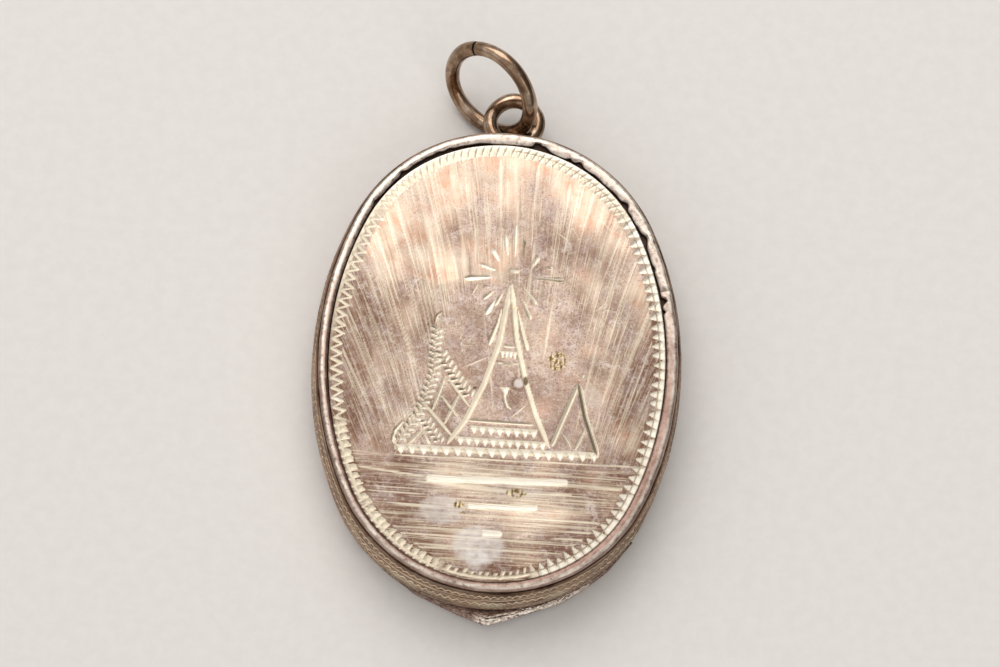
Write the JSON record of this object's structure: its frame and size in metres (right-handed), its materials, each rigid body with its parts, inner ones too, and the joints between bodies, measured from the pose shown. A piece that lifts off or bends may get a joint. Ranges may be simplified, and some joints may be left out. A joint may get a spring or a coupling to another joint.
{
  "type": "locket",
  "caption": "Oval silver locket with an engraved front, a hinged back lid with a thumb lip, framed pictures inside, and a jump ring through a bail loop.",
  "frame": {"origin": "centre of the back plate's outer face, on which the locket lies", "axes": "+Z towards the engraved front, +Y towards the bail and the hinge, -Y towards the thumb lip"},
  "size_m": [0.0304, 0.0489, 0.0087],
  "materials": {
    "engraved_silver": "brushed, engraved, pink-brown tarnish",
    "engraved_band": "engraved, golden-brown tarnish",
    "tarnished_silver": "worn, pink-brown tarnish",
    "ring_metal": "smooth, dark bronze tarnish",
    "gilt_frame": "satin",
    "hinge_steel": "drawn wire",
    "picture_card": "plain card",
    "window_glass": "clear"
  },
  "bodies": {
    "lid": {"back_rim": "tarnished_silver", "back_plate": "engraved_silver", "thumb_lip": "tarnished_silver", "lid_picture_card": "picture_card", "lid_window": "window_glass", "lid_picture_frame": "gilt_frame", "lid_knuckle_left": "tarnished_silver", "lid_knuckle_right": "tarnished_silver", "hinge_pin": "hinge_steel"},
    "case": {"case_wall": "engraved_band", "front_rim": "tarnished_silver", "front_plate": "engraved_silver", "inner_sleeve": "gilt_frame", "case_picture_card": "picture_card", "case_window": "window_glass", "case_picture_frame": "gilt_frame", "case_knuckle": "tarnished_silver", "bail_loop": "ring_metal"},
    "ring": {"jump_ring": "ring_metal"}
  },
  "joints": [
    {"name": "lid_hinge", "type": "hinge", "parent": "lid", "child": "case", "pos_m": [0, 0.0204, 0.0012], "axis": [-1, 0, 0], "range_deg": [0, 95]},
    {"name": "ring_swing", "type": "hinge", "parent": "case", "child": "ring", "pos_m": [0.00042, 0.02209, 0.0025], "axis": [0, 0, 1], "range_deg": [-90, 5]}
  ]
}
